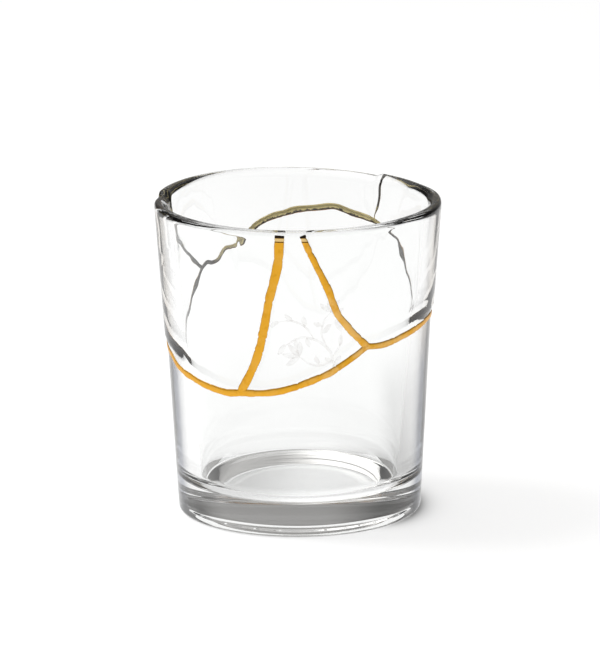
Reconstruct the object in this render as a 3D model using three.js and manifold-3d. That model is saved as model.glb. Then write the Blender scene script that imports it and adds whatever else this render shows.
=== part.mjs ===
// Kintsugi tumbler: a moulded clear glass whose upper wall is pressed into four proud shards,
// with raised gold seams run along every break line.
//
// Millimetres, +Z up. The origin is the centre of the underside. The front of the glass faces -Y.
// Angles run in degrees round the glass from the front, positive towards +X.

import * as THREE from "three";
import { mergeVertices } from "three/addons/utils/BufferGeometryUtils.js";
import Module from "manifold-3d";

const wasm = await Module();
wasm.setup();

// Overall form of the glass
const height = 96; // rim top above the underside
const footRadius = 36.8; // lower outer wall, carried down to the underside
const topRadius = 42.15; // the same wall, carried up to the rim
const rimWall = 3.9; // thickness of the side wall at the rim, without the shards
const footWall = 7.6; // the same wall, carried down to the underside
const rimRound = 1.9; // height of the rounded lip above the straight wall

// Base of the glass
const floorThickness = 9.2; // solid glass under the drink
const floorFillet = 5.6; // round between the inner wall and the floor
const footRound = 1.2; // round between the outer wall and the underside
const recessRadius = 25.2; // shallow flat recess under the base
const recessDepth = 0.5;
const recessSlope = 1.5; // width of the slope at its edge

// How far each shard stands out from the lower wall where it begins and at the rim, and how wide
// its rolled edge is
const frontStand = 0.8;
const frontRimStand = 0.9;
const frontEdge = 2.2;
const rightStand = 0.7;
const rightRimStand = 1.5;
const rightEdge = 3.4;
const backStand = 0.5;
const backRimStand = 0.6;
const backEdge = 2.4;
const leftStand = 1.1;
const leftRimStand = 1.2;
const leftEdge = 5;

// Shards in order round the glass from the front one, with the columns of facets across each
const shards = [
  { stand: frontStand, rimStand: frontRimStand, edge: frontEdge, columns: 12 },
  { stand: rightStand, rimStand: rightRimStand, edge: rightEdge, columns: 24 },
  { stand: backStand, rimStand: backRimStand, edge: backEdge, columns: 20 },
  { stand: leftStand, rimStand: leftRimStand, edge: leftEdge, columns: 22 },
];
const backShard = 2; // the one that sits askew
const backTilt = 1.8; // degrees that its rim leans, high on the left

// The shards stand proud at the two sides and lie almost flush towards the front and the back.
// Angles are in degrees from the front.
const flushShare = 0.06;
const proudFrom = [50, 84];
const proudUntil = [98, 122];
const innerFollows = 0.85; // share of the stand that the inside of the rim follows

// Gold seams
const ringBeadWidth = 2.2; // along the lower break line
const frontCrackWidth = 2.6; // up the two cracks at the front
const backCrackWidth = 1.4; // up the two cracks at the back
const beadThickness = 0.9; // half of it lies in a groove in the glass
const beadGap = 0.3; // clearance between the gold and its groove
const crackWidths = [frontCrackWidth, frontCrackWidth, backCrackWidth, backCrackWidth];

// Route of the lower break line. Each point is [angle, share of the height], and each row
// starts where a crack branches off it, at the near side of one shard.
const lowerBreak = [
  [[-26.5, 0.469], [-21.4, 0.471], [-12.4, 0.477], [-3.8, 0.492], [4.7, 0.514], [13.3, 0.539],
    [22.1, 0.575]],
  [[30.5, 0.612], [39.2, 0.608], [51.2, 0.619], [65, 0.63], [80, 0.635], [90, 0.627],
    [95.5, 0.604], [99.5, 0.641], [106.6, 0.673], [114.3, 0.7], [119.4, 0.744], [122.4, 0.793],
    [131, 0.81], [137, 0.827]],
  [[143, 0.842], [150.8, 0.853], [158.7, 0.866], [163.8, 0.874], [174.3, 0.865], [185.5, 0.851],
    [194.5, 0.832], [198.7, 0.818], [206.5, 0.757], [217.3, 0.744], [222.5, 0.715], [230.8, 0.716]],
  [[235.6, 0.706], [240.4, 0.674], [244.2, 0.639], [249.3, 0.614], [255.5, 0.594], [264.4, 0.576],
    [267.5, 0.556], [272.5, 0.54], [280, 0.53], [286.5, 0.521], [292.6, 0.503], [305.6, 0.484],
    [318.4, 0.469], [327, 0.463]],
];

// Routes of the cracks that climb from the lower break line to the lip. Each point is [angle,
// share of the climb], and each crack starts at the first point of the same row above.
const cracks = [
  [[-23.5, 0.071], [-18.7, 0.212], [-15.8, 0.354], [-13.4, 0.515], [-11.5, 0.644],
    [-9.3, 0.764], [-7.9, 0.878], [-7.4, 1]],
  [[26.5, 0.08], [22.8, 0.159], [19.6, 0.239], [16.9, 0.313], [14.8, 0.406], [13, 0.514],
    [8.9, 0.696], [4.5, 0.884], [2.3, 1]],
  [[143.2, 0.1], [141.8, 0.32], [140.9, 0.57], [140.8, 0.85], [139.6, 1]],
  [[240.8, 0.104], [243.4, 0.19], [247.8, 0.26], [255.6, 0.403], [260, 0.47], [264.4, 0.53],
    [264.6, 0.62], [266, 0.71], [265, 0.84], [263, 1]],
];

// Fineness of the faceted surfaces
const lowerRows = 2; // rows of facets on the wall below the shards
const shardRows = 8; // rows of facets up each shard
const roundRows = 3; // facets across each quarter round
const ringSteps = 80; // lengths in the bead round the glass
const crackSteps = 13; // lengths in the bead up each crack
const beadSides = 8;

const fullTurn = 360;
const meanRadius = (footRadius + topRadius) / 2;
const wallTop = height - rimRound;
const wallSlope = (topRadius - footRadius) / height;
const shardCount = shards.length;

const wallRadius = (z) => footRadius + wallSlope * z;
const innerWall = (z) => wallRadius(z) - THREE.MathUtils.lerp(footWall, rimWall, z / wallTop);
const smooth = (share) => THREE.MathUtils.smoothstep(share, 0, 1);
const steps = (count) => Array.from({ length: count }, (_, index) => index / count);

// The seams are drawn on the wall unrolled flat: x is the way round at the mean radius, y the height.
const unrolled = (angle, z) => new THREE.Vector3(THREE.MathUtils.degToRad(angle) * meanRadius, z, 0);
const angleOf = (point) => point.x / meanRadius;

// The first point of a row of the lower break line, on the turn that the asked shard belongs to
function junction(shard) {
  const [angle, share] = lowerBreak[shard % shardCount][0];
  return [angle + fullTurn * Math.floor(shard / shardCount), share];
}

const breakCurves = lowerBreak.map((route, shard) => {
  const points = [...route, junction(shard + 1)];
  return new THREE.CatmullRomCurve3(points.map(([angle, share]) => unrolled(angle, share * height)));
});

const crackCurves = cracks.map((route, shard) => {
  const [startAngle, startShare] = junction(shard);
  const startHeight = startShare * height;
  const climb = wallTop - startHeight;
  const points = route.map(([angle, share]) => unrolled(angle, startHeight + share * climb));
  return new THREE.CatmullRomCurve3([unrolled(startAngle, startHeight), ...points]);
});

// The crack at the far side of a shard, which for the last shard is the first crack one turn on
function farCrackPoint(shard, share) {
  const point = crackCurves[(shard + 1) % shardCount].getPointAt(share);
  return shard + 1 === shardCount ? point.add(unrolled(fullTurn, 0)) : point;
}

// The face of a shard is stretched between its four edges: the lower break line, the two cracks and
// the rim. across and up run from 0 to 1.
function shardPoint(shard, across, up) {
  const bottom = breakCurves[shard].getPointAt(across);
  const near = crackCurves[shard].getPointAt(up);
  const far = farCrackPoint(shard, up);
  const nearTop = crackCurves[shard].getPointAt(1);
  const farTop = farCrackPoint(shard, 1);
  const nearBottom = breakCurves[shard].getPointAt(0);
  const farBottom = breakCurves[shard].getPointAt(1);
  const top = nearTop.clone().lerp(farTop, across);
  const sides = near.lerp(far, across);
  const corners = nearBottom.lerp(farBottom, across).lerp(nearTop.lerp(farTop, across), up);
  return bottom.lerp(top, up).add(sides).sub(corners);
}

// How far a point of the unrolled wall is from the nearest seam of its shard
const edgePoints = shards.map((_, shard) => {
  const samples = 160;
  const lines = [
    breakCurves[shard].getSpacedPoints(samples),
    crackCurves[shard].getSpacedPoints(samples),
    Array.from({ length: samples + 1 }, (_, index) => farCrackPoint(shard, index / samples)),
  ];
  return lines.flat();
});
function seamDistance(shard, point) {
  return Math.min(...edgePoints[shard].map((edge) => edge.distanceTo(point)));
}

// How much of the shards' stand there is at a point of the unrolled wall
const between = (value, [from, until]) => smooth((value - from) / (until - from));
function proudShare(point) {
  const turned = THREE.MathUtils.radToDeg(angleOf(point));
  const fromFront = Math.abs(THREE.MathUtils.euclideanModulo(turned + fullTurn / 2, fullTurn) - fullTurn / 2);
  const proud = between(fromFront, proudFrom) * (1 - between(fromFront, proudUntil));
  return THREE.MathUtils.lerp(flushShare, 1, proud);
}

// How far the shard's face stands out at a point of the unrolled wall
function standAt(shard, point, up) {
  const { stand, rimStand, edge } = shards[shard];
  const rolled = smooth(seamDistance(shard, point) / edge);
  return THREE.MathUtils.lerp(stand, rimStand, up) * rolled * proudShare(point);
}

// How much higher the rim is there than its nominal height
function rimLift(shard, point) {
  if (shard !== backShard) return 0;
  const leftwards = -Math.sin(angleOf(point)) * topRadius;
  const fade = smooth(seamDistance(shard, point) / shards[shard].edge);
  return leftwards * Math.tan(THREE.MathUtils.degToRad(backTilt)) * fade;
}

// A point at a radius, a way round in radians and a height
function polar(radius, angle, z) {
  return new THREE.Vector3(radius * Math.sin(angle), -radius * Math.cos(angle), z);
}

// Columns of facets: each belongs to a shard and is closer to the next one near the cracks
const crowd = (share) => THREE.MathUtils.lerp(share, (1 - Math.cos(Math.PI * share)) / 2, 0.6);
const columns = shards.flatMap(({ columns: count }, shard) =>
  steps(count).map((share) => ({ shard, across: crowd(share) })),
);
columns.forEach((column, index) => {
  const { shard, across } = column;
  const foot = breakCurves[shard].getPointAt(across);
  const rim = shardPoint(shard, across, 1);
  const stand = standAt(shard, rim, 1);
  column.breakPoint = foot;
  column.evenAngle = angleOf(breakCurves[0].getPointAt(0)) + (2 * Math.PI * index) / columns.length;
  column.rimAngle = angleOf(rim);
  column.rimOuter = wallRadius(wallTop) + stand;
  column.rimInner = innerWall(wallTop) + stand * innerFollows;
  column.rimHeight = wallTop + rimLift(shard, rim);
});

// Stations along the section of the glass, from the middle of the underside, up the outside, over
// the lip and down the inside to the middle of the floor. Each gives a point on one column.
const floorCorner = floorThickness + floorFillet;
const quarter = Math.PI / 2;

const underside = [
  () => new THREE.Vector3(0, 0, recessDepth),
  ({ evenAngle }) => polar(recessRadius - recessSlope, evenAngle, recessDepth),
  ({ evenAngle }) => polar(recessRadius, evenAngle, 0),
];
const footStations = steps(roundRows).map((share) => (column) => {
  const turn = share * quarter;
  const centre = wallRadius(footRound) - footRound;
  return polar(centre + footRound * Math.sin(turn), column.evenAngle, footRound * (1 - Math.cos(turn)));
});
const lowerStations = steps(lowerRows).map((share) => (column) => {
  const z = THREE.MathUtils.lerp(footRound, column.breakPoint.y, share);
  const angle = THREE.MathUtils.lerp(column.evenAngle, angleOf(column.breakPoint), share);
  return polar(wallRadius(z), angle, z);
});
const shardStations = steps(shardRows).map((share) => ({ shard, across }) => {
  const up = crowd(share);
  const point = shardPoint(shard, across, up);
  return polar(wallRadius(point.y) + standAt(shard, point, up), angleOf(point), point.y);
});
const lipStations = steps(2 * roundRows + 1).map((_, index) => (column) => {
  const turn = (quarter * index) / roundRows;
  const middle = (column.rimOuter + column.rimInner) / 2;
  const half = (column.rimOuter - column.rimInner) / 2;
  const z = column.rimHeight + rimRound * Math.sin(turn);
  return polar(middle + half * Math.cos(turn), column.rimAngle, z);
});
const innerAngle = (column, share) => THREE.MathUtils.lerp(column.rimAngle, column.evenAngle, share);
const innerStations = [0.2, 0.5].map((share) => (column) => {
  const z = THREE.MathUtils.lerp(wallTop, floorCorner, share);
  const follow = (column.rimInner - innerWall(wallTop)) * (1 - share);
  return polar(innerWall(z) + follow, innerAngle(column, share), z);
});
const filletStations = steps(roundRows + 1).map((_, index) => (column) => {
  const turn = (quarter * index) / roundRows;
  const centre = innerWall(floorCorner) - floorFillet;
  const z = floorCorner - floorFillet * Math.sin(turn);
  return polar(centre + floorFillet * Math.cos(turn), column.evenAngle, z);
});
const stations = [
  ...underside,
  ...footStations,
  ...lowerStations,
  ...shardStations,
  ...lipStations,
  ...innerStations,
  ...filletStations,
  () => new THREE.Vector3(0, 0, floorThickness),
];

// A closed mesh with shared vertices as a solid that can be joined and cut
function solidOf(geometry) {
  const bare = new THREE.BufferGeometry();
  bare.setAttribute("position", geometry.getAttribute("position"));
  bare.setIndex(geometry.getIndex());
  const merged = mergeVertices(bare, 1e-4);
  const index = merged.getIndex().array;
  const triangles = [];
  for (let start = 0; start < index.length; start += 3) {
    const [a, b, c] = index.slice(start, start + 3);
    if (a !== b && b !== c && c !== a) triangles.push(a, b, c);
  }
  return new wasm.Manifold(new wasm.Mesh({
    numProp: 3,
    vertProperties: new Float32Array(merged.getAttribute("position").array),
    triVerts: new Uint32Array(triangles),
  }));
}

function geometryOf(solid) {
  const { vertProperties, triVerts } = solid.getMesh();
  const geometry = new THREE.BufferGeometry();
  geometry.setAttribute("position", new THREE.BufferAttribute(new Float32Array(vertProperties), 3));
  geometry.setIndex(new THREE.BufferAttribute(new Uint32Array(triVerts), 1));
  geometry.computeVertexNormals();
  return geometry;
}

// The glass starts as a turned shape, whose rows and columns are then carried to their stations
function glassSolid() {
  const profile = stations.map(() => new THREE.Vector2(1, 0));
  const turned = new THREE.LatheGeometry(profile, columns.length);
  const position = turned.getAttribute("position");
  [...columns, columns[0]].forEach((column, turn) => {
    stations.forEach((place, row) => {
      const point = place(column);
      position.setXYZ(turn * stations.length + row, point.x, point.y, point.z);
    });
  });
  return solidOf(turned);
}

// Where a seam's bead lies on the lower wall, with its own directions there
function seamFrame(curvePoint, share) {
  const reach = 1e-3;
  const onWall = (point) => polar(wallRadius(point.y), angleOf(point), point.y);
  const point = curvePoint(share);
  const origin = onWall(point);
  const ahead = onWall(curvePoint(Math.min(share + reach, 1)));
  const behind = onWall(curvePoint(Math.max(share - reach, 0)));
  const along = ahead.sub(behind).normalize();
  const out = polar(1, angleOf(point), -wallSlope).normalize();
  return { origin, along, out, side: new THREE.Vector3().crossVectors(out, along) };
}

// Lays a point of a straight or ring-shaped bar along a seam
function laidAlong({ origin, side, out, along }, sideways, outwards, lengthways) {
  return origin.clone()
    .addScaledVector(side, sideways)
    .addScaledVector(out, outwards)
    .addScaledVector(along, lengthways);
}

// The bead round the glass, with its section grown by margin
function ringBead(margin) {
  const tube = 0.25; // share of the ring's own radius, before it is laid on the wall
  const bead = new THREE.TorusGeometry(1, tube, beadSides, ringSteps);
  const position = bead.getAttribute("position");
  const curvePoint = (share) => {
    const place = (((share % 1) + 1) % 1) * shardCount;
    const shard = Math.min(Math.floor(place), shardCount - 1);
    return breakCurves[shard].getPointAt(place - shard);
  };
  const corner = new THREE.Vector3();
  for (let index = 0; index < position.count; index += 1) {
    corner.fromBufferAttribute(position, index);
    const share = ((Math.atan2(corner.y, corner.x) / (2 * Math.PI)) % 1 + 1) % 1;
    const sideways = (Math.hypot(corner.x, corner.y) - 1) / tube;
    const outwards = corner.z / tube;
    const spot = laidAlong(
      seamFrame(curvePoint, share),
      -sideways * (ringBeadWidth / 2 + margin),
      outwards * (beadThickness / 2 + margin),
      0,
    );
    position.setXYZ(index, spot.x, spot.y, spot.z);
  }
  return solidOf(bead);
}

// The bead up one crack, with its section grown by margin
function crackBead(shard, margin) {
  const curve = crackCurves[shard];
  const bead = new THREE.CylinderGeometry(1, 1, 1, beadSides, crackSteps);
  const position = bead.getAttribute("position");
  const corner = new THREE.Vector3();
  for (let index = 0; index < position.count; index += 1) {
    corner.fromBufferAttribute(position, index);
    const share = corner.y + 0.5;
    const spot = laidAlong(
      seamFrame((at) => curve.getPointAt(at), share),
      -corner.x * (crackWidths[shard] / 2 + margin),
      corner.z * (beadThickness / 2 + margin),
      share > 0.999 ? margin : 0,
    );
    position.setXYZ(index, spot.x, spot.y, spot.z);
  }
  return solidOf(bead);
}

function beadNetwork(margin) {
  const branches = crackCurves.map((_, shard) => crackBead(shard, margin));
  return branches.reduce((joined, branch) => joined.add(branch), ringBead(margin));
}

const clearGlass = new THREE.MeshStandardMaterial({
  color: 0xe9efee,
  roughness: 0.03,
  metalness: 0,
  transparent: true,
  opacity: 0.35,
});
const gold = new THREE.MeshStandardMaterial({ color: 0xd99a28, roughness: 0.35, metalness: 0.8 });

function namedMesh(name, solid, material) {
  const mesh = new THREE.Mesh(geometryOf(solid), material);
  mesh.name = name;
  return mesh;
}

const tumbler = new THREE.Group();
tumbler.add(namedMesh("glass_tumbler", glassSolid().subtract(beadNetwork(beadGap)), clearGlass));
tumbler.add(namedMesh("gold_seams", beadNetwork(0), gold));

export default tumbler;
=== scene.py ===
# Kintsugi tumbler: clear moulded glass with four proud shards and hand-laid gold seams.
# Metres, +Z up, the origin at the centre of the underside, the front of the glass towards -Y.

import math

import bmesh
import bpy
import numpy as np
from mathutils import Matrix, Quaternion, Vector, noise


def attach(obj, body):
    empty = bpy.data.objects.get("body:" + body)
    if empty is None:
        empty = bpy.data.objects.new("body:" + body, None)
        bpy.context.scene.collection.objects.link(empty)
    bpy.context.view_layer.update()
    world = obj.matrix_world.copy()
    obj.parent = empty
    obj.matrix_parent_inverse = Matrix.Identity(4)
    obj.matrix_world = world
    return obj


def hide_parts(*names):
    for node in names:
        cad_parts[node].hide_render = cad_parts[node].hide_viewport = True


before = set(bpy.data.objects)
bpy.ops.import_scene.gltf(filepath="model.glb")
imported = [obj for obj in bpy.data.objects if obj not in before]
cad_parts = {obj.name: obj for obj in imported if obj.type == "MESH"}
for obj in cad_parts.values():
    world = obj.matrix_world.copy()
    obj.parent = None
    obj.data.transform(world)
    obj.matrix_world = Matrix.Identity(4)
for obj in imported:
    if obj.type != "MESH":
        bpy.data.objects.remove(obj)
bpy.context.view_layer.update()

MM = 0.001

# Glass, as in the solids
HEIGHT = 96 * MM
FOOT_RADIUS = 36.8 * MM
TOP_RADIUS = 42.15 * MM
RIM_WALL = 3.9 * MM
FOOT_WALL = 7.6 * MM
RIM_ROUND = 1.9 * MM
LIP_SQUARENESS = 0.8
LIP_INSIDE = 1.5
FLOOR_THICKNESS = 9.2 * MM
FLOOR_FILLET = 5.6 * MM
FOOT_ROUND = 1.2 * MM
RECESS_RADIUS = 25.2 * MM
RECESS_DEPTH = 0.5 * MM
RECESS_SLOPE = 1.5 * MM

# Shards from the front one round to the left one: how far each stands out where it begins and
# at the rim, how wide its rolled edge is, and how many columns of faces cross it. The left one
# stands a little lower than in the solids
SHARDS = [
    {"stand": 0.8 * MM, "rim_stand": 0.9 * MM, "edge": 2.2 * MM, "columns": 70},
    {"stand": 0.7 * MM, "rim_stand": 1.5 * MM, "edge": 3.4 * MM, "columns": 144},
    {"stand": 0.5 * MM, "rim_stand": 0.6 * MM, "edge": 2.4 * MM, "columns": 116},
    {"stand": 0.75 * MM, "rim_stand": 1.2 * MM, "edge": 4.4 * MM, "columns": 130},
]
BACK_SHARD = 2
BACK_TILT = math.radians(1.8)

# The shards stand proud at the two sides and lie almost flush towards the front and the back
FLUSH_SHARE = 0.06
PROUD_FROM = [math.radians(50), math.radians(84)]
PROUD_UNTIL = [math.radians(98), math.radians(122)]

# The smooth inside follows the shards softly
INNER_FOLLOWS = 0.85
INNER_SPREAD = 2.0

# Fire polish fills the grooves between the shards towards the rim
POLISH_FROM = [0.72, 0.97]
POLISH_FILLS = 0.6

# Lower break line: angle round from the front, and share of the height
LOWER_BREAK = [
    [(-26.5, 0.469), (-21.4, 0.471), (-12.4, 0.477), (-3.8, 0.492), (4.7, 0.514), (13.3, 0.539),
     (22.1, 0.575)],
    [(30.5, 0.612), (39.2, 0.608), (51.2, 0.619), (65, 0.63), (80, 0.635), (90, 0.627),
     (95.5, 0.604), (96.8, 0.622), (99.5, 0.641), (102.6, 0.652), (106.6, 0.673), (111.1, 0.691),
     (114.3, 0.7), (117, 0.716), (119.4, 0.744), (120.8, 0.774), (122.4, 0.793), (126, 0.8),
     (131, 0.81), (137, 0.827)],
    [(143, 0.842), (150.8, 0.853), (154.8, 0.857), (158.7, 0.866), (163.8, 0.874), (169, 0.87),
     (174.3, 0.865), (180, 0.861), (185.5, 0.851), (189.9, 0.843), (194.5, 0.832), (198.7, 0.818),
     (203, 0.79), (206.5, 0.757), (209.5, 0.748), (214.3, 0.745), (217.3, 0.744), (219.8, 0.731),
     (222.5, 0.715), (227, 0.71), (230.8, 0.716)],
    [(235.6, 0.706), (237.9, 0.693), (240.4, 0.674), (242, 0.656), (244.2, 0.639), (247, 0.626),
     (249.3, 0.614), (252.3, 0.602), (255.5, 0.594), (260.4, 0.588), (264.4, 0.576),
     (267.5, 0.556), (272.5, 0.54), (280, 0.53), (286.5, 0.521), (292.6, 0.503), (305.6, 0.484),
     (318.4, 0.469), (327, 0.463)],
]

# Cracks: angle, and share of the climb from the break line to the lip
CRACKS = [
    [(-23.5, 0.071), (-18.7, 0.212), (-15.8, 0.354), (-13.4, 0.515), (-11.5, 0.644),
     (-9.3, 0.764), (-7.9, 0.878), (-7.4, 1)],
    [(26.5, 0.08), (22.8, 0.159), (19.6, 0.239), (16.9, 0.313), (14.8, 0.406), (13, 0.514),
     (8.9, 0.696), (4.5, 0.884), (2.3, 1)],
    [(143.2, 0.1), (141.8, 0.32), (140.9, 0.57), (140.8, 0.85), (139.6, 1)],
    [(238.2, 0.04), (240.8, 0.104), (243.4, 0.19), (247.8, 0.26), (252.1, 0.333), (255.6, 0.403),
     (260, 0.47), (264.4, 0.53), (264.6, 0.62), (266, 0.71), (265, 0.84), (263, 1)],
]

# Gold line: how wide it is round the break line and up each crack, how far it stands out, how
# deep it fills the crack behind it, and how far it runs on over the lip
BREAK_WIDTH = 2.15 * MM
THIN_STRETCHES = [(0, 1), (60, 0.9), (92, 0.75), (104, 0.4), (118, 0.3), (136, 0.35), (147, 0.95), (200, 1),
                  (212, 0.62), (245, 0.55), (266, 0.75), (300, 0.95), (334, 1)]
CRACK_WIDTHS = [
    [(0, 2.6 * MM), (1, 2.6 * MM)],
    [(0, 2.4 * MM), (0.45, 2.2 * MM), (1, 1.7 * MM)],
    [(0, 0.1 * MM), (0.12, 0.1 * MM), (0.3, 0.7 * MM), (0.9, 0.85 * MM), (1, 1.3 * MM)],
    [(0, 1.2 * MM), (0.3, 1.1 * MM), (0.5, 1.5 * MM), (1, 1.1 * MM)],
]
SEAM_STEP = 0.45 * MM
NICK_DEPTH = 0.2
NICKS_FROM = (0.3, 0.6)

# Unevenness of the line: how long each wave is, its row in the noise, and how strong it is
WANDER = (4.2 * MM, 0, 0.16)
FINE_WANDER = (1.3 * MM, 5, 0.08)
DRIFT = (3.1 * MM, 9, 0.12 * MM)
NICKS = (0.9 * MM, 13, 1)
SEAM_RISE = 0.3 * MM
SEAM_BED = 0.4 * MM
SEAMS_OVER_LIP = [0.6 * MM, 0.65 * MM, 0.4 * MM, 0.0]

# Finishes
CLEAR = (0.985, 0.99, 0.988)
# Painted shade where the glass's upright outer wall is seen edge-on: blue-grey low, warm brown higher up
LOWER_EDGE_SHADE = (0.20, 0.22, 0.28)
UPPER_EDGE_SHADE = (0.55, 0.50, 0.44)
UPPER_SHADE_FROM = (44 * MM, 60 * MM)
EDGE_SHADE_FACING = (0.55, 0.74)
EDGE_SHADE_UPRIGHT = (0.05, 0.35)
GLASS_IOR = 1.52

GOLD = (0.86, 0.43, 0.03)
GOLD_PALE_AND_HIGHLIGHT = (0.93, 0.57, 0.18)
GOLD_DEEP = (0.72, 0.33, 0.015)
# Painted shade along the edges of the lines, where the gold turns down to the glass
GOLD_EDGE_SHADE = (0.30, 0.21, 0.07)
GOLD_LIP = (0.85, 0.62, 0.28)
LIP_BROWN = (0.035, 0.022, 0.012)
LIP_PALE = (93.1 * MM, 94.0 * MM)
LIP_DARK = [(92.75 * MM, 93.05 * MM), (94.05 * MM, 96.5 * MM)]
LIP_SOFT = 0.06 * MM
PATCH_SIZE = 5 * MM
# Pale patches of the paint, more of them towards the right half as a painted highlight
HIGHLIGHT_RIGHT_OF = (0.0, 0.012)
PALE_AND_HIGHLIGHT_SHARES = (0.15, 0.75)
DARK_PATCH_SIZE = 1.7 * MM
DARK_PATCH_SHARE = 0.6
BRUSH_SIZE = 0.8 * MM

# Gold seen from inside: painted shade, with painted highlight along the top across the middle of the back
GOLD_SHADE = (0.085, 0.072, 0.062)
GOLD_HIGHLIGHT = (0.95, 0.80, 0.38)
# Painted light on the inner faces that look down
GOLD_UNDERSIDE_LIGHT = (0.60, 0.28, 0.05)
LIGHT_WITHIN_X = (0.026, 0.030)
LIGHT_BELOW_Z = (0.0850, 0.0860)
HIGHLIGHT_MORE_AT_BACK = 0.3
HIGHLIGHT_BREAK_SIZE = 1.2 * MM
HIGHLIGHT_BREAK = 0.12

# Faint scroll: stems as points in millimetres on the unrolled wall, across from the front and
# up; leaves and blossoms with a foot, a direction in degrees, and their sizes
SCROLL_COLOUR = (0.62, 0.55, 0.51)
SCROLL_STRENGTH = (0.04, 0.10)
SCROLL_GAP = 0.02 * MM
SCROLL_THICKNESS = 0.01 * MM
SCROLL_STEMS = [
    ([(9.6, 50.5), (10.4, 55), (8.6, 59.5), (4.6, 62.5), (0.6, 63.2), (-3.6, 61)], 0.9 * MM),
    ([(10.1, 57), (12.4, 60.5), (12.6, 64.5)], 0.7 * MM),
    ([(8.4, 59.8), (6.8, 64), (7.6, 68.5), (9.2, 70.6)], 0.7 * MM),
    ([(4.6, 62.5), (2.0, 66.5), (-1.8, 68.4), (-5.4, 68.2)], 0.7 * MM),
    ([(9.9, 55.6), (6.6, 54.4), (3.2, 55.0), (0.6, 57.0)], 0.7 * MM),
]
SCROLL_LEAVES = [
    ((12.6, 64.3), 96, 4.4 * MM, 2.1 * MM),
    ((12.0, 60.0), 62, 3.5 * MM, 1.6 * MM),
    ((10.2, 53.4), 40, 4.2 * MM, 1.9 * MM),
    ((10.3, 54.8), 128, 3.2 * MM, 1.5 * MM),
    ((6.9, 64.4), 30, 3.7 * MM, 1.8 * MM),
    ((7.2, 66.4), 140, 3.2 * MM, 1.5 * MM),
    ((1.8, 66.4), 80, 3.5 * MM, 1.6 * MM),
    ((-1.8, 68.3), 120, 3.0 * MM, 1.5 * MM),
    ((-5.4, 68.1), 190, 3.5 * MM, 1.6 * MM),
    ((-3.6, 61.0), 215, 4.0 * MM, 1.8 * MM),
    ((-0.6, 62.8), 250, 3.0 * MM, 1.5 * MM),
    ((2.4, 63.2), 268, 3.2 * MM, 1.5 * MM),
    ((5.8, 54.6), 92, 3.0 * MM, 1.5 * MM),
]
SCROLL_BLOSSOMS = [
    ((9.3, 70.6), 74, 4.2 * MM),
    ((0.4, 57.2), 152, 4.8 * MM),
]

# Floor: its glow, its matte share, the shade drawn beside the foot, and how bright it is where
# it is seen in or through the glass
FLOOR_HALF_WIDTH = 2.5
FLOOR_DROP = 0.1 * MM
FLOOR_GLOW = 0.765
FLOOR_MATTE = (0.25, 0.25, 0.25)
FLOOR_NEAR = 0.685
FLOOR_FAR = 0.35
FLOOR_FADES = (0.5, 1.2)
CONTACT_DEPTH = 0.8
CONTACT_REACH = 2.8 * MM
CONTACT_SIDE = (0.6, 0.97)
SIDE_SHADE = 0.35
SIDE_SHADE_FROM = (0.036, 0.06)
SIDE_SHADE_ENDS = (0.10, 0.16)
UNDER_GLOW = (0.0, 0.35)
UNDER_GLOW_ACROSS = (-0.02, 0.006)
UNDER_GLOW_ENDS = (0.027, 0.034)

# Studio: a pale card behind and the dim room, brighter overhead
CARD_LEFT = (math.radians(-34), math.radians(-6))
CARD_RIGHT = (math.radians(28), math.radians(48))
CARD_TOP = (0.55, 0.8)
CARD_GLOW = 0.2
ROOM_COLOUR = (1.0, 0.985, 0.96)
ROOM_GLOW = 0.085
OVERHEAD_FROM = (0.35, 0.65)
OVERHEAD_GLOW = 0.34

# Round patches of light: degrees round from behind, degrees up, degrees to the edge and to the
# even middle, and glow. A softbox up on the left, and a dim ceiling up on the right behind
SOFTBOX = {"azimuth": -60, "elevation": 60, "edge": 38, "middle": 16, "glow": 1.3}
CEILING = {"azimuth": 22, "elevation": 66, "edge": 30, "middle": 12, "glow": 0.22}

# Lamps: the key light up on the left, and a weaker one in front
LAMPS = [
    {"name": "key", "place": (-0.5, 0.1, 0.85), "aim": (0, 0, 0.03), "size": (0.35, 0.35), "power": 8},
    {"name": "front", "place": (0.1, -0.9, 0.9), "aim": (0, 0, 0.06), "size": (0.5, 0.3), "power": 5},
]

# Camera
CAMERA_ELEVATION = math.radians(14.82)
CAMERA_DISTANCE = 2.076
CAMERA_TARGET = (0.00047, 0, 0.0549)
SENSOR_WIDTH = 36
FOCAL_PIXELS = 6846
PICTURE_HEIGHT = 660
CAMERA_ROLL = math.radians(-0.468)
CAMERA_CLIP = (0.1, 20)
LIGHT_BOUNCES = 24
GLOSSY_BOUNCES = 12

# Fineness of the glass
UNDERSIDE_ROWS = 6
FOOT_ROWS = 10
LOWER_ROWS = 14
SHARD_ROWS = 76
LIP_ROWS = 22
INNER_ROWS = 54
FILLET_ROWS = 16
FLOOR_ROWS = 6

WALL_TOP = HEIGHT - RIM_ROUND
WALL_SLOPE = (TOP_RADIUS - FOOT_RADIUS) / HEIGHT
MEAN_RADIUS = (FOOT_RADIUS + TOP_RADIUS) / 2
FLOOR_CORNER = FLOOR_THICKNESS + FLOOR_FILLET
SHARD_COUNT = len(SHARDS)


# Small helpers

def wall_radius(z):
    return FOOT_RADIUS + WALL_SLOPE * z


def inner_wall(z):
    return wall_radius(z) - mixed(FOOT_WALL, RIM_WALL, z / WALL_TOP)


def smooth(share):
    t = np.clip(share, 0, 1)
    return t * t * (3 - 2 * t)


def mixed(a, b, share):
    return a + (b - a) * share


def crowd(share):
    """Moves even shares closer together near 0 and 1."""
    return mixed(share, (1 - np.cos(np.pi * share)) / 2, 0.6)


def polar(radius, angle, z):
    return np.stack([radius * np.sin(angle), -radius * np.cos(angle), z + 0 * angle], axis=-1)


def unrolled(angle_deg, z):
    return np.array([math.radians(angle_deg) * MEAN_RADIUS, z])


# Seam routes on the unrolled wall

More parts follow.
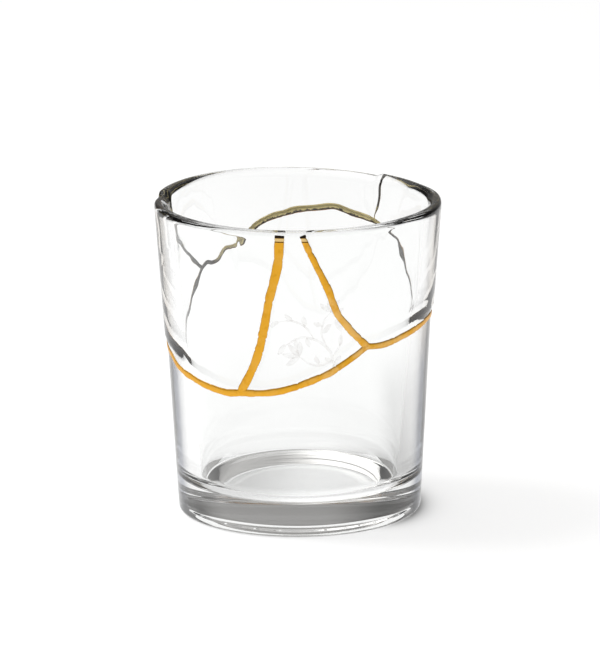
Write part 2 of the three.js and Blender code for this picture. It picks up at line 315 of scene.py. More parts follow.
class Route:
    """A smooth line through points, read by its share of length."""

    def __init__(self, points):
        points = np.array(points)
        ends = np.vstack([2 * points[0] - points[1], points, 2 * points[-1] - points[-2]])
        fine = [points[:1]]
        for k in range(1, len(ends) - 2):
            fine.append(self.span(ends[k - 1:k + 3], 24))
        self.points = np.vstack(fine)
        steps = np.linalg.norm(np.diff(self.points, axis=0), axis=1)
        self.lengths = np.concatenate([[0], np.cumsum(steps)])
        self.length = self.lengths[-1]

    @staticmethod
    def span(four, count):
        """Centripetal Catmull-Rom between the middle two of four points."""
        knots = np.concatenate([[0], np.cumsum(np.linalg.norm(np.diff(four, axis=0), axis=1) ** 0.5)])
        t = mixed(knots[1], knots[2], np.arange(1, count + 1) / count)[:, None]
        k0, k1, k2, k3 = knots
        a1 = (k1 - t) / (k1 - k0) * four[0] + (t - k0) / (k1 - k0) * four[1]
        a2 = (k2 - t) / (k2 - k1) * four[1] + (t - k1) / (k2 - k1) * four[2]
        a3 = (k3 - t) / (k3 - k2) * four[2] + (t - k2) / (k3 - k2) * four[3]
        b1 = (k2 - t) / (k2 - k0) * a1 + (t - k0) / (k2 - k0) * a2
        b2 = (k3 - t) / (k3 - k1) * a2 + (t - k1) / (k3 - k1) * a3
        return (k2 - t) / (k2 - k1) * b1 + (t - k1) / (k2 - k1) * b2

    def at(self, share):
        place = np.clip(share, 0, 1) * self.length
        return np.stack([np.interp(place, self.lengths, self.points[:, axis]) for axis in (0, 1)], axis=-1)


def junction(shard):
    angle, share = LOWER_BREAK[shard % SHARD_COUNT][0]
    return angle + 360 * (shard // SHARD_COUNT), share


def break_route(shard):
    points = LOWER_BREAK[shard] + [junction(shard + 1)]
    return Route([unrolled(angle, share * HEIGHT) for angle, share in points])


def crack_route(shard):
    angle, share = junction(shard)
    start = share * HEIGHT
    climb = WALL_TOP - start
    points = [unrolled(a, start + s * climb) for a, s in CRACKS[shard]]
    return Route([unrolled(angle, start), *points])


breaks = [break_route(shard) for shard in range(SHARD_COUNT)]
crack_lines = [crack_route(shard) for shard in range(SHARD_COUNT)]
ONE_TURN = unrolled(360, 0)


def far_crack(shard, share):
    point = crack_lines[(shard + 1) % SHARD_COUNT].at(share)
    return point + ONE_TURN if shard + 1 == SHARD_COUNT else point


def shard_point(shard, across, up):
    """A point of a shard's face, stretched between the break line, two cracks and the rim."""
    a, u = across[..., None], up[..., None]
    bottom = breaks[shard].at(across)
    near, far = crack_lines[shard].at(up), far_crack(shard, up)
    near_top, far_top = crack_lines[shard].at(1.0), far_crack(shard, 1.0)
    near_foot, far_foot = breaks[shard].at(0.0), breaks[shard].at(1.0)
    top = mixed(near_top, far_top, a)
    sides = mixed(near, far, a)
    corners = mixed(mixed(near_foot, far_foot, a), top, u)
    return mixed(bottom, top, u) + sides - corners


def seam_distance(shard, points):
    """How far points of the unrolled wall are from the nearest seam of their shard."""
    shares = np.linspace(0, 1, 500)
    lines = np.vstack([breaks[shard].at(shares), crack_lines[shard].at(shares), far_crack(shard, shares)])
    flat = points.reshape(-1, 2)
    nearest = np.empty(len(flat))
    for start in range(0, len(flat), 2000):
        part = flat[start:start + 2000]
        gaps = part[:, None, :] - lines[None, :, :]
        nearest[start:start + 2000] = np.sqrt((gaps ** 2).sum(axis=2).min(axis=1))
    return nearest.reshape(points.shape[:-1])


def ramp(value, ends):
    return smooth((value - ends[0]) / (ends[1] - ends[0]))


def proud_share(points):
    """How much of the shards' stand there is: all of it at the sides, little elsewhere."""
    angle = np.abs((points[..., 0] / MEAN_RADIUS + np.pi) % (2 * np.pi) - np.pi)
    return mixed(FLUSH_SHARE, 1, ramp(angle, PROUD_FROM) * (1 - ramp(angle, PROUD_UNTIL)))


def stand_at(shard, points, up, spread=1.0):
    size = SHARDS[shard]
    rolled = smooth(seam_distance(shard, points) / size["edge"] / spread)
    rolled = mixed(rolled, 1, POLISH_FILLS * ramp(up, POLISH_FROM))
    return mixed(size["stand"], size["rim_stand"], up) * rolled * proud_share(points)


def rim_lift(shard, points):
    if shard != BACK_SHARD:
        return np.zeros(points.shape[:-1])
    leftwards = -np.sin(points[..., 0] / MEAN_RADIUS) * TOP_RADIUS
    return leftwards * math.tan(BACK_TILT) * smooth(seam_distance(shard, points) / SHARDS[shard]["edge"])


# Glass

def lip_section(rim_outer, turn):
    """The rounded section of the lip: its radius and its rise at a turn from 0 to half round."""
    lip_inner = inner_wall(WALL_TOP) + INNER_FOLLOWS * (rim_outer - wall_radius(WALL_TOP))
    squareness = np.where(np.cos(turn) < -1e-6, LIP_INSIDE, LIP_SQUARENESS)
    outwards = np.sign(np.cos(turn)) * np.abs(np.cos(turn)) ** squareness
    rise = RIM_ROUND * np.abs(np.sin(turn)) ** squareness
    return (rim_outer + lip_inner) / 2 + (rim_outer - lip_inner) / 2 * outwards, rise


def glass_rows():
    """Rings of points along the section: up the outside, over the lip and down the inside."""
    across = [crowd(np.arange(s["columns"]) / s["columns"]) for s in SHARDS]
    break_points = np.vstack([breaks[k].at(across[k]) for k in range(SHARD_COUNT)])
    rim_parts = [shard_point(k, across[k], np.ones_like(across[k])) for k in range(SHARD_COUNT)]
    rim_points = np.vstack(rim_parts)
    stands = [stand_at(k, rim_parts[k], 1.0) for k in range(SHARD_COUNT)]
    lifts = [rim_lift(k, rim_parts[k]) for k in range(SHARD_COUNT)]
    count = len(break_points)
    even = break_points[0, 0] / MEAN_RADIUS + 2 * np.pi * np.arange(count) / count
    rim_angle = rim_points[:, 0] / MEAN_RADIUS
    rim_outer = wall_radius(WALL_TOP) + np.concatenate(stands)
    rim_height = WALL_TOP + np.concatenate(lifts)
    rows = []
    for share in np.arange(UNDERSIDE_ROWS + 1) / UNDERSIDE_ROWS:
        radius = RECESS_RADIUS - RECESS_SLOPE * (1 - max(share - 0.5, 0) * 2)
        rows.append(polar(radius * min(share * 2, 1), even, RECESS_DEPTH * (1 - smooth(share * 2 - 1))))
    foot_centre = wall_radius(FOOT_ROUND) - FOOT_ROUND
    for turn in np.arange(FOOT_ROWS) / FOOT_ROWS * np.pi / 2:
        radius = foot_centre + FOOT_ROUND * math.sin(turn)
        rows.append(polar(radius, even, FOOT_ROUND * (1 - math.cos(turn))))
    for share in np.arange(LOWER_ROWS) / LOWER_ROWS:
        z = mixed(FOOT_ROUND, break_points[:, 1], share)
        angle = mixed(even, break_points[:, 0] / MEAN_RADIUS, share)
        rows.append(polar(wall_radius(z), angle, z))
    for share in crowd(np.arange(SHARD_ROWS) / SHARD_ROWS):
        parts = []
        for shard in range(SHARD_COUNT):
            points = shard_point(shard, across[shard], np.full(len(across[shard]), share))
            stand = stand_at(shard, points, share)
            z = points[:, 1]
            parts.append(polar(wall_radius(z) + stand, points[:, 0] / MEAN_RADIUS, z))
        rows.append(np.vstack(parts))
    for turn in np.arange(LIP_ROWS + 1) / LIP_ROWS * np.pi:
        radius, rise = lip_section(rim_outer, turn)
        rows.append(polar(radius, rim_angle, rim_height + rise))
    for share in np.arange(1, INNER_ROWS) / INNER_ROWS:
        z = mixed(rim_height, FLOOR_CORNER, share)
        angle = mixed(rim_angle, even, smooth(share))
        stand = stand_over(np.stack([angle * MEAN_RADIUS, z], axis=-1), INNER_SPREAD)[0]
        rows.append(polar(inner_wall(z) + INNER_FOLLOWS * stand, angle, z))
    fillet_centre = inner_wall(FLOOR_CORNER) - FLOOR_FILLET
    for turn in np.arange(FILLET_ROWS + 1) / FILLET_ROWS * np.pi / 2:
        radius = fillet_centre + FLOOR_FILLET * math.cos(turn)
        rows.append(polar(radius, even, FLOOR_CORNER - FLOOR_FILLET * math.sin(turn)))
    for share in 1 - np.arange(1, FLOOR_ROWS + 1) / FLOOR_ROWS:
        rows.append(polar(fillet_centre * share, even, FLOOR_THICKNESS))
    return np.stack(rows)


def wrapped_grid(name, rows, outer_rows):
    """A piece whose faces are a grid wrapped round the glass, row by row, and welded shut."""
    row_count, column_count = rows.shape[:2]
    mesh_maker = bmesh.new()
    bmesh.ops.create_grid(mesh_maker, x_segments=column_count, y_segments=row_count - 1, size=1)
    mesh_maker.verts.ensure_lookup_table()
    outer_side = mesh_maker.verts.layers.float.new("outer_side")
    width = column_count + 1
    for index, vertex in enumerate(mesh_maker.verts):
        vertex.co = rows[index // width, index % width % column_count]
        vertex[outer_side] = float(index // width in outer_rows)
    bmesh.ops.remove_doubles(mesh_maker, verts=mesh_maker.verts, dist=1e-7)
    bmesh.ops.recalc_face_normals(mesh_maker, faces=mesh_maker.faces)
    for face in mesh_maker.faces:
        face.smooth = True
    return piece_from(mesh_maker, name)


def piece_from(mesh_maker, name):
    mesh = bpy.data.meshes.new(name)
    mesh_maker.to_mesh(mesh)
    mesh_maker.free()
    piece = bpy.data.objects.new(name, mesh)
    bpy.context.scene.collection.objects.link(piece)
    return piece


# Gold

def uneven(share, length, wave, seed):
    """Smooth noise along a line, in one of the waves of its unevenness."""
    size, row, strength = wave
    return strength * np.array([noise.noise(Vector((s * length / size, seed, row))) for s in share])


def lay_seam(route_at, length, start, end, width, seed):
    """The middle of a hand-painted line on the unrolled wall, its side direction and its width."""
    steps = max(8, int(length * (end - start) / SEAM_STEP))
    share = np.linspace(start, end, steps + 1)
    centre = route_at(share)
    ahead = route_at(share + 0.002) - route_at(share - 0.002)
    ahead = ahead / np.linalg.norm(ahead, axis=1)[:, None]
    side = np.stack([-ahead[:, 1], ahead[:, 0]], axis=-1)
    wander = uneven(share, length, WANDER, seed) + uneven(share, length, FINE_WANDER, seed)
    nicks = ramp(uneven(share, length, NICKS, seed), NICKS_FROM)
    half_width = width(centre) / 2 * (1 + wander) * (1 - NICK_DEPTH * nicks)
    centre = centre + side * uneven(share, length, DRIFT, seed)[:, None]
    return centre, side, half_width


def surface_over(points):
    """The glass's outer surface over points of the unrolled wall, and the way it faces."""
    over_lip = np.maximum(points[..., 1] - WALL_TOP, 0)
    on_wall = np.stack([points[..., 0], np.minimum(points[..., 1], WALL_TOP)], axis=-1)
    stand, lift = stand_over(on_wall)
    outer = wall_radius(on_wall[..., 1]) + stand
    lip_turn = np.clip(over_lip / RIM_ROUND, 0, np.pi / 2)
    lip_radius, lip_rise = lip_section(outer, lip_turn)
    on_lip = over_lip > 0
    radius = np.where(on_lip, lip_radius, outer)
    height = on_wall[..., 1] + np.where(on_lip, lip_rise + lift, 0)
    return radius, height, np.where(on_lip, lip_turn, 0)


def stand_over(points, spread=1.0):
    """How far the shards stand out, and how far the rim is lifted, over points of the wall."""
    first = breaks[0].points[0, 0]
    wrapped = points.copy()
    wrapped[..., 0] = (wrapped[..., 0] - first) % ONE_TURN[0] + first
    wrapped[..., 1] = np.minimum(wrapped[..., 1], WALL_TOP)
    stand = np.zeros(points.shape[:-1])
    lift = np.zeros(points.shape[:-1])
    for shard in range(SHARD_COUNT):
        inside, up = inside_shard(shard, wrapped)
        if inside.any():
            stand[inside] = stand_at(shard, wrapped[inside], up[inside], spread)
            lift[inside] = rim_lift(shard, wrapped[inside])
    return stand, lift


def inside_shard(shard, points):
    """Which points lie on a shard, and how far up it they are."""
    x, z = points[..., 0], points[..., 1] - 1e-9
    shares = np.linspace(0, 1, 400)
    near, far = crack_lines[shard].at(shares), far_crack(shard, shares)
    foot = breaks[shard].at(shares)
    outline = np.vstack([near, far[::-1], foot[::-1]])
    inside = np.zeros(x.shape, bool)
    for (ax, az), (bx, bz) in zip(outline, np.roll(outline, -1, axis=0)):
        if az != bz:
            crosses = (az > z) != (bz > z)
            inside ^= crosses & (x < (bx - ax) * (z - az) / (bz - az) + ax)
    start = near[0, 1]
    up = np.clip((z - start) / (WALL_TOP - start), 0, 1)
    return inside, up


def seam_rows(route_at, length, start, end, width, seed, section_steps=8):
    """Rows of points round the section of a gold line, from its start to its end."""
    centre, side, half_width = lay_seam(route_at, length, start, end, width, seed)
    rows = []
    for turn in np.arange(2 * section_steps) / section_steps * np.pi:
        sideways = math.copysign(abs(math.cos(turn)) ** 0.75, math.cos(turn))
        points = centre + side * (half_width * sideways)[:, None]
        radius, height, facing = surface_over(points)
        if math.sin(turn) > 0:
            lift = SEAM_RISE * math.sin(turn) ** 0.8
        else:
            lift = -SEAM_BED * abs(math.sin(turn))
        angle = points[:, 0] / MEAN_RADIUS
        rows.append(polar(radius + lift * np.cos(facing), angle, height + lift * np.sin(facing)))
    return np.stack(rows, axis=1)


def seam_tube(mesh_maker, rows, closed):
    """Adds one gold line to a mesh: a grid wrapped round its section, with its ends filled."""
    length_count, section_count = rows.shape[:2]
    made = bmesh.ops.create_grid(
        mesh_maker, x_segments=section_count, y_segments=length_count - 1, size=1
    )
    width = section_count + 1
    for index, vertex in enumerate(made["verts"]):
        vertex.co = rows[index // width, index % width % section_count]
    bmesh.ops.remove_doubles(mesh_maker, verts=made["verts"], dist=1e-8)
    if not closed:
        open_edges = [e for e in mesh_maker.edges if e.is_boundary]
        bmesh.ops.holes_fill(mesh_maker, edges=open_edges, sides=0)


def ring_at(share):
    """A point of the whole lower break line, which closes on itself."""
    share = np.asarray(share)
    turns = np.floor(share)
    lengths = np.concatenate([[0], np.cumsum([r.length for r in breaks])])
    place = (share - turns) * lengths[-1]
    found = np.clip(np.searchsorted(lengths, place, side="right") - 1, 0, SHARD_COUNT - 1)
    result = np.zeros(share.shape + (2,))
    for shard in range(SHARD_COUNT):
        here = found == shard
        if here.any():
            result[here] = breaks[shard].at((place[here] - lengths[shard]) / breaks[shard].length)
    result[..., 0] += turns * ONE_TURN[0]
    return result


def break_width(points):
    """The painted line's width along the break line, thinner where the painter lifted the brush."""
    angles, shares = np.array(THIN_STRETCHES).T
    turned = np.degrees(points[:, 0] / MEAN_RADIUS) % 360
    return BREAK_WIDTH * np.interp(turned, angles, shares, period=360)


def crack_width(number):
    """The painted line's width up one crack, by the height that it has climbed."""
    shares, widths = np.array(CRACK_WIDTHS[number]).T
    low, high = crack_lines[number].points[[0, -1], 1]
    return lambda points: np.interp((points[:, 1] - low) / (high - low), shares, widths)


def gold_seams():
    mesh_maker = bmesh.new()
    ring_length = sum(route.length for route in breaks)
    ring = seam_rows(ring_at, ring_length, 0.0, 1.0, break_width, 3.7)
    ring[-1] = ring[0]
    seam_tube(mesh_maker, ring, closed=True)
    bmesh.ops.remove_doubles(mesh_maker, verts=mesh_maker.verts, dist=1e-8)
    for number, route in enumerate(crack_lines):
        end = 1 + SEAMS_OVER_LIP[number] / route.length
        seed = 11.3 + 7.1 * number
        rows = seam_rows(extended(route), route.length, 0.0, end, crack_width(number), seed)
        seam_tube(mesh_maker, rows, closed=False)
    bmesh.ops.recalc_face_normals(mesh_maker, faces=mesh_maker.faces)
    for face in mesh_maker.faces:
        face.smooth = True
        centre = face.calc_center_median()
        outwards = face.normal.x * centre.x + face.normal.y * centre.y
        face.material_index = 0 if outwards > 0 else 1
    return piece_from(mesh_maker, "gold_line")


def extended(route):
    """A route that runs straight on past its ends."""
    first = (route.at(0.01) - route.at(0.0)) / 0.01
    last = (route.at(1.0) - route.at(0.99)) / 0.01

    def at(share):
        share = np.asarray(share, float)
        point = route.at(share)
        before = np.minimum(share, 0)[..., None]
        after = np.maximum(share - 1, 0)[..., None]
        return point + before * first + after * last

    return at


# Materials

def map_range(nodes, links, value, source, target):
    node = nodes.new("ShaderNodeMapRange")
    node.interpolation_type = "SMOOTHSTEP"
    node.inputs["From Min"].default_value, node.inputs["From Max"].default_value = source
    node.inputs["To Min"].default_value, node.inputs["To Max"].default_value = target
    links.new(value, node.inputs["Value"])
    return node.outputs["Result"]


def maths(nodes, links, operation, *values):
    node = nodes.new("ShaderNodeMath")
    node.operation = operation
    for socket, value in zip(node.inputs, values):
        if isinstance(value, (int, float)):
            socket.default_value = value
        else:
            links.new(value, socket)
    return node.outputs[0]


def absolute(nodes, links, value):
    return maths(nodes, links, "ABSOLUTE", value)


def multiply(nodes, links, first, second):
    return maths(nodes, links, "MULTIPLY", first, second)


def mix_colour(nodes, links, share, first, second):
    """A colour that goes from the first to the second; each is a colour or a socket."""
    node = nodes.new("ShaderNodeMix")
    node.data_type = "RGBA"
    links.new(share, node.inputs["Factor"])
    for socket, colour in ((node.inputs[6], first), (node.inputs[7], second)):
        if isinstance(colour, tuple):
            socket.default_value = (*colour, 1)
        else:
            links.new(colour, socket)
    return node.outputs[2]


def shader_material(name):
    material = bpy.data.materials.new(name)
    material.use_nodes = True
    nodes, links = material.node_tree.nodes, material.node_tree.links
    return material, nodes, links, nodes["Principled BSDF"]


def clear_glass():
    material, nodes, links, shader = shader_material("clear_glass")
    layer = nodes.new("ShaderNodeLayerWeight")
    layer.inputs["Blend"].default_value = 0.5
    geometry = nodes.new("ShaderNodeNewGeometry")
    split = nodes.new("ShaderNodeSeparateXYZ")
    links.new(geometry.outputs["Normal"], split.inputs[0])
    upright = map_range(nodes, links, absolute(nodes, links, split.outputs["Z"]), EDGE_SHADE_UPRIGHT, (1, 0))
    outer_side = nodes.new("ShaderNodeAttribute")
    outer_side.attribute_name = "outer_side"
    # Painted shade where the upright outer wall is seen edge-on, blue-grey low down and warm brown higher
    # up
    edge = map_range(nodes, links, layer.outputs["Facing"], EDGE_SHADE_FACING, (0, 1))
    place = nodes.new("ShaderNodeTexCoord")
    height = nodes.new("ShaderNodeSeparateXYZ")
    links.new(place.outputs["Object"], height.inputs[0])
    upper = map_range(nodes, links, height.outputs["Z"], UPPER_SHADE_FROM, (0, 1))
    edge_shade = mix_colour(nodes, links, upper, LOWER_EDGE_SHADE, UPPER_EDGE_SHADE)
    share = multiply(nodes, links, multiply(nodes, links, upright, edge), outer_side.outputs["Fac"])
    links.new(mix_colour(nodes, links, share, CLEAR, edge_shade), shader.inputs["Base Color"])
    shader.inputs["Roughness"].default_value = 0.0
    shader.inputs["IOR"].default_value = GLASS_IOR
    shader.inputs["Transmission Weight"].default_value = 1.0
    return material


def object_place(nodes, links):
    """The place on the piece as three sockets, with the whole vector."""
    place = nodes.new("ShaderNodeTexCoord").outputs["Object"]
    split = nodes.new("ShaderNodeSeparateXYZ")
    links.new(place, split.inputs[0])
    return place, split.outputs["X"], split.outputs["Y"], split.outputs["Z"]


def mottle(nodes, links, place, size, detail=3.0):
    """Soft cloudy noise of a given grain size, about 0.5 on average."""
    cloud = nodes.new("ShaderNodeTexNoise")
    cloud.inputs["Scale"].default_value = 1 / size
    cloud.inputs["Detail"].default_value = detail
    links.new(place, cloud.inputs["Vector"])
    return cloud.outputs["Fac"]


def band(nodes, links, value, low, high, soft):
    """1 between two values and 0 outside them."""
    opens = map_range(nodes, links, value, (low - soft, low + soft), (0, 1))
    closes = map_range(nodes, links, value, (high - soft, high + soft), (1, 0))
    return multiply(nodes, links, opens, closes)


def brushed_bump(nodes, links, shader, place, size, strength):
    bump = nodes.new("ShaderNodeBump")
    bump.inputs["Strength"].default_value = strength
    bump.inputs["Distance"].default_value = 0.1 * MM
    links.new(mottle(nodes, links, place, size), bump.inputs["Height"])
    links.new(bump.outputs["Normal"], shader.inputs["Normal"])


def painted_gold():
    """The outer face of the gold: a satin paint, patchy, with painted highlight on the right, painted shade
    on the edges, bands at the lip.
    """
    material, nodes, links, shader = shader_material("painted_gold")
    place, x, y, z = object_place(nodes, links)
    patches = map_range(nodes, links, mottle(nodes, links, place, PATCH_SIZE), (0.42, 0.62), (0, 1))
    # Painted highlight: more of the pale patches towards the right half
    highlight_right = map_range(nodes, links, x, HIGHLIGHT_RIGHT_OF, PALE_AND_HIGHLIGHT_SHARES)
    pale_patches_and_highlight = multiply(nodes, links, patches, highlight_right)
    colour = mix_colour(nodes, links, pale_patches_and_highlight, GOLD, GOLD_PALE_AND_HIGHLIGHT)
    dark_cloud = mottle(nodes, links, place, DARK_PATCH_SIZE)
    dark_patches = map_range(nodes, links, dark_cloud, (0.52, 0.7), (0, DARK_PATCH_SHARE))
    colour = mix_colour(nodes, links, dark_patches, colour, GOLD_DEEP)
    colour = mix_colour(nodes, links, band(nodes, links, z, *LIP_PALE, LIP_SOFT), colour, GOLD_LIP)
    for dark_band in LIP_DARK:
        colour = mix_colour(nodes, links, band(nodes, links, z, *dark_band, LIP_SOFT), colour, LIP_BROWN)
    # Painted shade along the edges of each line
    colour = mix_colour(nodes, links, edge_shade_share(nodes, links, x, y), colour, GOLD_EDGE_SHADE)
    links.new(colour, shader.inputs["Base Color"])
    shader.inputs["Metallic"].default_value = 0.85
    shader.inputs["Roughness"].default_value = 0.4
    brushed_bump(nodes, links, shader, place, BRUSH_SIZE, 0.25)
    return material


def edge_shade_share(nodes, links, x, y):
    """Painted shade: 1 where the gold turns down to the glass at a line's edges, 0 on its broad face."""
    outwards = nodes.new("ShaderNodeCombineXYZ")
    links.new(x, outwards.inputs["X"])
    links.new(y, outwards.inputs["Y"])
    unit = nodes.new("ShaderNodeVectorMath")
    unit.operation = "NORMALIZE"
    links.new(outwards.outputs[0], unit.inputs[0])
    facing = nodes.new("ShaderNodeVectorMath")
    facing.operation = "DOT_PRODUCT"
    links.new(unit.outputs["Vector"], facing.inputs[0])
    links.new(nodes.new("ShaderNodeNewGeometry").outputs["Normal"], facing.inputs[1])
    return map_range(nodes, links, facing.outputs["Value"], (0.25, 0.6), (0.8, 0))


def gold_from_inside():
    """The inner face of the gold: painted shade, with painted light on top and below across the middle of
    the back.
    """
    material, nodes, links, shader = shader_material("gold_from_inside")
    place, x, _, z = object_place(nodes, links)
    upwards = nodes.new("ShaderNodeSeparateXYZ")
    links.new(nodes.new("ShaderNodeNewGeometry").outputs["Normal"], upwards.inputs[0])
    across_back = multiply(
        nodes, links,
        map_range(nodes, links, absolute(nodes, links, x), LIGHT_WITHIN_X, (1, 0)),
        map_range(nodes, links, z, LIGHT_BELOW_Z, (1, 0)),
    )
    at_back = multiply(nodes, links, across_back, HIGHLIGHT_MORE_AT_BACK)
    cloud = mottle(nodes, links, place, HIGHLIGHT_BREAK_SIZE)
    broken = map_range(nodes, links, cloud, (0.3, 0.7), (-HIGHLIGHT_BREAK, HIGHLIGHT_BREAK))
    # Painted highlight (leaf) where the inner face looks up, painted light where it looks down, painted
    # shade elsewhere
    highlight_shows = maths(nodes, links, "ADD", maths(nodes, links, "ADD", upwards.outputs["Z"], at_back), broken)
    leaf = multiply(nodes, links, map_range(nodes, links, highlight_shows, (0.15, 0.35), (0, 1)), across_back)
    underside_light = multiply(nodes, links, map_range(nodes, links, highlight_shows, (-0.35, -0.15), (1, 0)), across_back)
    dark = mix_colour(nodes, links, underside_light, GOLD_SHADE, GOLD_UNDERSIDE_LIGHT)
    links.new(mix_colour(nodes, links, leaf, dark, GOLD_HIGHLIGHT), shader.inputs["Base Color"])
    shader.inputs["Metallic"].default_value = 0.6
    shader.inputs["Roughness"].default_value = 0.35
    return material


def faint_print():
    """The pale warm-grey scroll, hardly darker than the glass it lies on."""
    material, nodes, links, shader = shader_material("faint_print")
    shader.inputs["Base Color"].default_value = (*SCROLL_COLOUR, 1)
    shader.inputs["Roughness"].default_value = 0.6
    place = object_place(nodes, links)[0]
    worn = map_range(nodes, links, mottle(nodes, links, place, 2.5 * MM), (0.35, 0.65), SCROLL_STRENGTH)
    links.new(worn, shader.inputs["Alpha"])
    return material


# Scroll on the front shard: a stem, side stems with leaves, and open blossoms

def smooth_line(points, count=40):
    """A smooth line through points given in millimetres on the front of the unrolled wall."""
    return Route([(x * MM, z * MM) for x, z in points]).at(np.linspace(0, 1, count))


def on_wall(points):
    """Points of the unrolled wall, carried to just outside the glass."""
    radius, height, _ = surface_over(points)
    return polar(radius + SCROLL_GAP, points[..., 0] / MEAN_RADIUS, height)


def lay_film(mesh_maker, left, right):
    """A thin film between two lines of points on the unrolled wall."""
    places = on_wall(np.stack([left, right], axis=1))
    made = bmesh.ops.create_grid(mesh_maker, x_segments=1, y_segments=len(left) - 1, size=1)
    for index, vertex in enumerate(made["verts"]):
        vertex.co = places[index // 2, index % 2]


def lay_stem(mesh_maker, points, width):
    """A stem that tapers to both of its ends."""
    line = smooth_line(points)
    ahead = np.gradient(line, axis=0)
    ahead = ahead / np.linalg.norm(ahead, axis=1)[:, None]
    side = np.stack([-ahead[:, 1], ahead[:, 0]], axis=-1)
    share = np.linspace(0, 1, len(line))
    half = width / 2 * (0.25 + 0.75 * np.sin(np.pi * share) ** 0.6)
    lay_film(mesh_maker, line - side * half[:, None], line + side * half[:, None])


def lay_leaf(mesh_maker, foot, angle, length, width, bend=0.25, count=14):
    """A pointed leaf or petal from its foot, with a slight sideways bend."""
    share = np.linspace(0, 1, count)
    along = np.array([math.cos(math.radians(angle)), math.sin(math.radians(angle))])
    side = np.array([-along[1], along[0]])
    middle = np.array(foot) * MM + share[:, None] * length * along
    middle = middle + (bend * length * np.sin(np.pi * share / 2) ** 2)[:, None] * side
    half = width / 2 * np.sin(np.pi * np.clip(share, 0.004, 0.996)) ** 0.8
    lay_film(mesh_maker, middle - side * half[:, None], middle + side * half[:, None])


def lay_blossom(mesh_maker, centre, angle, size):
    """An open blossom seen from the side: a cup of petals with a small heart."""
    for turn, long, wide, bend in ((-48, 1.0, 0.42, -0.2), (-16, 1.12, 0.4, -0.06),
                                   (16, 1.12, 0.4, 0.06), (48, 1.0, 0.42, 0.2)):
        lay_leaf(mesh_maker, centre, angle + turn, size * long, size * wide, bend)


def faint_scroll():
    mesh_maker = bmesh.new()
    for points, width in SCROLL_STEMS:
        lay_stem(mesh_maker, points, width)
    for foot, angle, length, width in SCROLL_LEAVES:
        lay_leaf(mesh_maker, foot, angle, length, width)
    for centre, angle, size in SCROLL_BLOSSOMS:
        lay_blossom(mesh_maker, centre, angle, size)
    bmesh.ops.recalc_face_normals(mesh_maker, faces=mesh_maker.faces)
    bmesh.ops.solidify(mesh_maker, geom=mesh_maker.faces[:], thickness=SCROLL_THICKNESS)
    bmesh.ops.recalc_face_normals(mesh_maker, faces=mesh_maker.faces)
    for face in mesh_maker.faces:
        face.smooth = False
    return piece_from(mesh_maker, "faint_scroll")


first_outer_row = UNDERSIDE_ROWS + 1
last_outer_row = first_outer_row + FOOT_ROWS + LOWER_ROWS + SHARD_ROWS
glass = wrapped_grid("glass_body", glass_rows(), range(first_outer_row, last_outer_row))
glass.data.materials.append(clear_glass())
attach(glass, "root")
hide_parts("glass_tumbler")

gold = gold_seams()
gold.data.materials.append(painted_gold())
gold.data.materials.append(gold_from_inside())
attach(gold, "root")
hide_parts("gold_seams")

scroll = faint_scroll()
scroll.data.materials.append(faint_print())
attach(scroll, "root")


# Floor, light and camera

def stage_floor():
    mesh_maker = bmesh.new()
    bmesh.ops.create_grid(mesh_maker, x_segments=1, y_segments=1, size=FLOOR_HALF_WIDTH)
    floor = piece_from(mesh_maker, "floor")
    floor.location.z = -FLOOR_DROP
    material, nodes, links, shader = shader_material("pale_floor")
    nodes.remove(shader)
    place = nodes.new("ShaderNodeTexCoord")
    split = nodes.new("ShaderNodeSeparateXYZ")
    links.new(place.outputs["Object"], split.inputs[0])
    x = split.outputs["X"]
    reach = nodes.new("ShaderNodeVectorMath")
    reach.operation = "LENGTH"
    links.new(place.outputs["Object"], reach.inputs[0])
    radius = reach.outputs["Value"]
    contact = contact_shadow(nodes, links, x, radius)
    seen = maths(nodes, links, "MULTIPLY", contact, FLOOR_GLOW)
    under = through_floor(nodes, links, x, radius)
    path = nodes.new("ShaderNodeLightPath")
    strength = nodes.new("ShaderNodeMix")
    links.new(path.outputs["Is Camera Ray"], strength.inputs["Factor"])
    links.new(under, strength.inputs["A"])
    links.new(seen, strength.inputs["B"])
    glow = nodes.new("ShaderNodeEmission")
    links.new(strength.outputs["Result"], glow.inputs["Strength"])
    matte = nodes.new("ShaderNodeBsdfDiffuse")
    matte.inputs["Color"].default_value = (*FLOOR_MATTE, 1)
    both = nodes.new("ShaderNodeAddShader")
    links.new(glow.outputs[0], both.inputs[0])
    links.new(matte.outputs[0], both.inputs[1])
    links.new(both.outputs[0], nodes["Material Output"].inputs["Surface"])
    floor.data.materials.append(material)


def contact_shadow(nodes, links, x, radius):
    """1 on the open floor, darker close to the foot on the side away from the key light."""
    gap = maths(nodes, links, "MAXIMUM", maths(nodes, links, "SUBTRACT", radius, FOOT_RADIUS), 0.0)
    decay = maths(nodes, links, "EXPONENT", maths(nodes, links, "MULTIPLY", gap, -1 / CONTACT_REACH))
    towards = maths(nodes, links, "DIVIDE", x, radius)
    side = map_range(nodes, links, towards, CONTACT_SIDE, (0, CONTACT_DEPTH))
    return maths(nodes, links, "SUBTRACT", 1.0, multiply(nodes, links, decay, side))


def through_floor(nodes, links, x, radius):
    """How bright the floor is where it is seen in or through the glass."""
    far = map_range(nodes, links, radius, FLOOR_FADES, (FLOOR_NEAR, FLOOR_FAR))
    right = map_range(nodes, links, x, SIDE_SHADE_FROM, (0, 1))
    near = map_range(nodes, links, radius, SIDE_SHADE_ENDS, (1, 0))
    fall = multiply(nodes, links, multiply(nodes, links, right, near), SIDE_SHADE)
    open_floor = multiply(nodes, links, far, maths(nodes, links, "SUBTRACT", 1.0, fall))
    under = map_range(nodes, links, radius, UNDER_GLOW_ENDS, (1, 0))
    gathered = multiply(nodes, links, under, map_range(nodes, links, x, UNDER_GLOW_ACROSS, UNDER_GLOW))
    return maths(nodes, links, "ADD", open_floor, gathered)


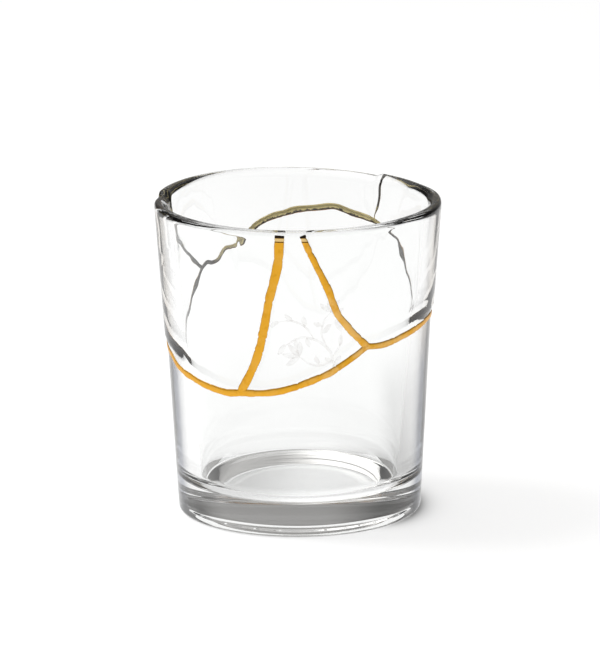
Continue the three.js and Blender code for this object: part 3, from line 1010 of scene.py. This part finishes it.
def soft_light(name, place, aim, size, power):
    lamp = bpy.data.lights.new(name, "AREA")
    lamp.shape = "RECTANGLE"
    lamp.size, lamp.size_y = size
    lamp.energy = power
    holder = bpy.data.objects.new(name, lamp)
    holder.location = place
    holder.rotation_euler = (Vector(aim) - Vector(place)).to_track_quat("-Z", "Y").to_euler()
    holder.visible_glossy = False
    holder.visible_transmission = False
    bpy.context.scene.collection.objects.link(holder)


def round_patch(nodes, links, place, patch):
    """A soft round patch of light in the surroundings."""
    azimuth, elevation = math.radians(patch["azimuth"]), math.radians(patch["elevation"])
    aim = Vector((math.sin(azimuth) * math.cos(elevation), math.cos(azimuth) * math.cos(elevation),
                  math.sin(elevation)))
    edge = (math.cos(math.radians(patch["edge"])), math.cos(math.radians(patch["middle"])))
    nearness = nodes.new("ShaderNodeVectorMath")
    nearness.operation = "DOT_PRODUCT"
    links.new(place.outputs["Generated"], nearness.inputs[0])
    nearness.inputs[1].default_value = aim
    return map_range(nodes, links, nearness.outputs["Value"], edge, (0, patch["glow"]))


def studio():
    world = bpy.data.worlds.new("studio")
    world.use_nodes = True
    bpy.context.scene.world = world
    nodes, links = world.node_tree.nodes, world.node_tree.links
    place = nodes.new("ShaderNodeTexCoord")
    split = nodes.new("ShaderNodeSeparateXYZ")
    links.new(place.outputs["Generated"], split.inputs[0])
    azimuth = maths(nodes, links, "ARCTAN2", split.outputs["X"], split.outputs["Y"])
    left_end = map_range(nodes, links, azimuth, CARD_LEFT, (0, 1))
    right_end = map_range(nodes, links, azimuth, CARD_RIGHT, (1, 0))
    top_end = map_range(nodes, links, split.outputs["Z"], CARD_TOP, (CARD_GLOW, 0))
    card = multiply(nodes, links, multiply(nodes, links, left_end, right_end), top_end)
    softbox = round_patch(nodes, links, place, SOFTBOX)
    ceiling = round_patch(nodes, links, place, CEILING)
    overhead = map_range(nodes, links, split.outputs["Z"], OVERHEAD_FROM, (ROOM_GLOW, OVERHEAD_GLOW))
    total = maths(nodes, links, "ADD", maths(nodes, links, "ADD", card, overhead),
                  maths(nodes, links, "MAXIMUM", softbox, ceiling))
    background = nodes["Background"]
    background.inputs["Color"].default_value = (*ROOM_COLOUR, 1)
    links.new(total, background.inputs["Strength"])
    for lamp in LAMPS:
        soft_light(**lamp)


def camera():
    back = Vector((0, -math.cos(CAMERA_ELEVATION), math.sin(CAMERA_ELEVATION)))
    lens = bpy.data.cameras.new("camera")
    lens.sensor_width = SENSOR_WIDTH
    lens.lens = FOCAL_PIXELS * SENSOR_WIDTH / PICTURE_HEIGHT
    lens.clip_start, lens.clip_end = CAMERA_CLIP
    holder = bpy.data.objects.new("camera", lens)
    holder.location = Vector(CAMERA_TARGET) + back * CAMERA_DISTANCE
    turn = (-back).to_track_quat("-Z", "Y")
    holder.rotation_mode = "QUATERNION"
    holder.rotation_quaternion = turn @ Quaternion((0, 0, 1), CAMERA_ROLL)
    bpy.context.scene.collection.objects.link(holder)
    bpy.context.scene.camera = holder


stage_floor()
studio()
camera()

bpy.context.scene.view_settings.view_transform = "Standard"
cycles = bpy.context.scene.cycles
cycles.max_bounces = LIGHT_BOUNCES
cycles.transmission_bounces = LIGHT_BOUNCES
cycles.glossy_bounces = GLOSSY_BOUNCES
